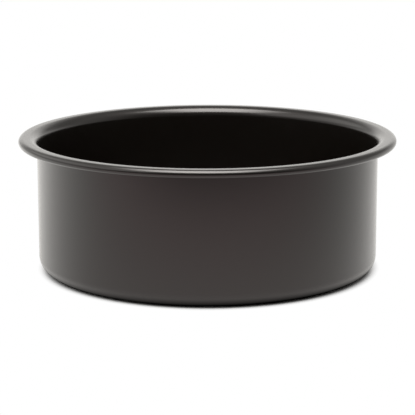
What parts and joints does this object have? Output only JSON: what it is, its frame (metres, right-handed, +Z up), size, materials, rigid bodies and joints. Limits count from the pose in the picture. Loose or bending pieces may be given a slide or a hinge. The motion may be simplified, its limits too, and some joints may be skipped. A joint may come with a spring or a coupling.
{
  "type": "round baking pan",
  "caption": "Deep round baking pan in dark coated sheet steel, with a straight wall, a flared rolled rim and a loose base that lifts out to free a cake.",
  "frame": {"origin": "on the surface the pan stands on, at the centre of the pan", "axes": "+Z up along the pan's axis of symmetry, towards the open mouth; the pan is round, so X and Y are free"},
  "size_m": [0.2232, 0.2232, 0.0795],
  "materials": {
    "nonstick_coat": "satin, warm black non-stick coat baked on both faces of the sheet steel"
  },
  "bodies": {
    "ring": {"pan_ring": "nonstick_coat"},
    "base": {"loose_base": "nonstick_coat"}
  },
  "joints": [
    {"name": "base_lift", "type": "slide", "parent": "ring", "child": "base", "axis": [0, 0, 1], "range_m": [0, 0.09]}
  ]
}
